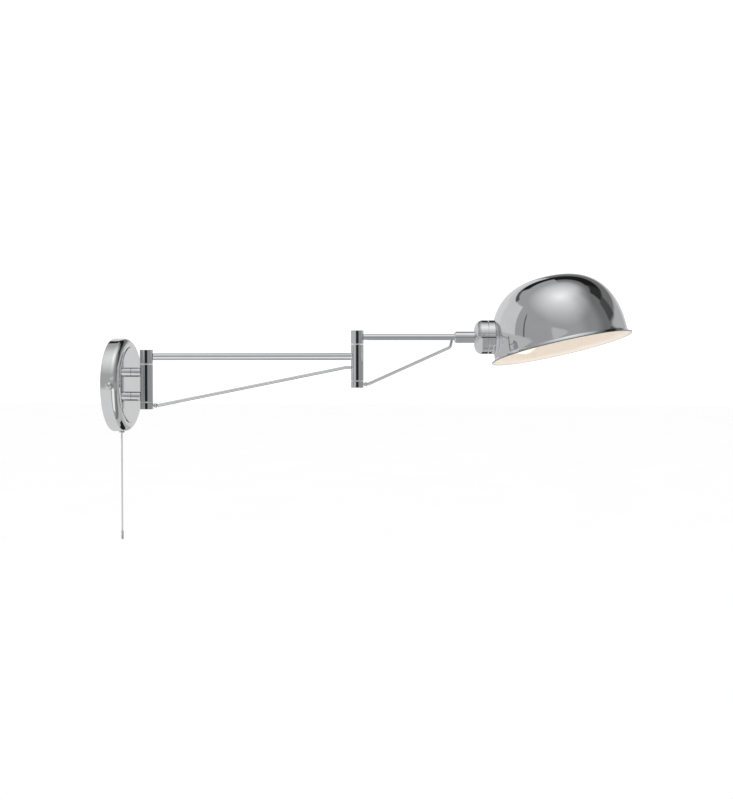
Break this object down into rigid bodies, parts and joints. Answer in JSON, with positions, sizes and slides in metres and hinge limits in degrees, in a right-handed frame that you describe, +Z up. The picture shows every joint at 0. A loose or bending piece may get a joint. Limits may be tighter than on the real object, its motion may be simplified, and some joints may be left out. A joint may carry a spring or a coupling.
{
  "type": "swing arm wall sconce",
  "caption": "Wall light with a round canopy, a hinged swing arm with brace rods, a domed metal shade on a swivel and a pull cord.",
  "frame": {"origin": "centre of the wall canopy on the wall plane, on the mounting bracket's back face", "axes": "+X straight out from the wall, +Y along the wall to the lamp's left as seen from the room, +Z up"},
  "size_m": [0.667, 0.298, 0.3471],
  "materials": {
    "chrome": "polished chrome plate on steel",
    "zinc_steel": "zinc-plated steel",
    "brass": "plain brass",
    "copper": "plain copper",
    "nylon": "natural nylon",
    "black_plastic": "moulded",
    "white_plastic": "moulded",
    "porcelain": "glazed",
    "frosted_glass": "frosted",
    "silver_cord": "fine braid"
  },
  "bodies": {
    "wall_canopy_body": {"wall_canopy": "chrome", "mounting_bracket": "zinc_steel", "backing_plate": "zinc_steel", "upper_stub": "chrome", "lower_stub": "chrome", "upper_stub_nut": "zinc_steel", "lower_stub_nut": "zinc_steel", "side_screw_near": "chrome", "side_screw_far": "chrome", "terminal_block": "white_plastic", "earth_screw": "brass", "pull_switch": "black_plastic", "cord_bushing": "chrome", "post_1_barrel": "chrome"},
    "pull": {"switch_plunger": "zinc_steel", "pull_cord": "silver_cord", "cord_tip": "chrome"},
    "first_arm": {"post_1_upper_knuckle": "chrome", "post_1_lower_knuckle": "chrome", "post_1_bolt": "zinc_steel", "post_1_nut": "zinc_steel", "post_1_upper_washer": "nylon", "post_1_lower_washer": "nylon", "arm_1_tube": "chrome", "arm_1_rod": "chrome", "arm_1_rod_ball": "chrome", "arm_1_wire": "black_plastic", "post_2_barrel": "chrome"},
    "second_arm": {"post_2_upper_knuckle": "chrome", "post_2_lower_knuckle": "chrome", "post_2_bolt": "zinc_steel", "post_2_nut": "zinc_steel", "post_2_upper_washer": "nylon", "post_2_lower_washer": "nylon", "arm_2_tube": "chrome", "arm_2_rod": "chrome", "arm_2_rod_ball": "chrome", "arm_2_wire": "black_plastic", "swivel_sleeve": "chrome", "sleeve_set_screw": "zinc_steel"},
    "head": {"swivel_stem": "zinc_steel", "stem_nut": "zinc_steel", "socket_cup": "chrome", "cup_set_screw": "zinc_steel", "shade_collar": "chrome", "dome_shade": "chrome", "shade_ring_nut": "white_plastic", "lampholder": "porcelain", "centre_contact": "copper", "screw_shell": "brass", "bulb_base": "brass", "bulb_globe": "frosted_glass"}
  },
  "joints": [
    {"name": "arm_swing", "type": "hinge", "parent": "wall_canopy_body", "child": "first_arm", "pos_m": [0.0425, 0, 0], "axis": [0, 0, 1], "range_deg": [-111.6, 68.4]},
    {"name": "elbow_swing", "type": "hinge", "parent": "first_arm", "child": "second_arm", "pos_m": [0.30284, 0.10307, 0.0259], "axis": [0, 0, -1], "range_deg": [-154.1, 125.9]},
    {"name": "head_turn", "type": "hinge", "parent": "second_arm", "child": "head", "pos_m": [0.45155, 0.12265, 0.0622], "axis": [0.9914, 0.1305, 0], "range_deg": [-82.6, 97.4]},
    {"name": "cord_pull", "type": "slide", "parent": "wall_canopy_body", "child": "pull", "axis": [0, 0, -1], "range_m": [0, 0.008], "stiffness_N_per_m": 900, "springref_m": -0.003}
  ]
}
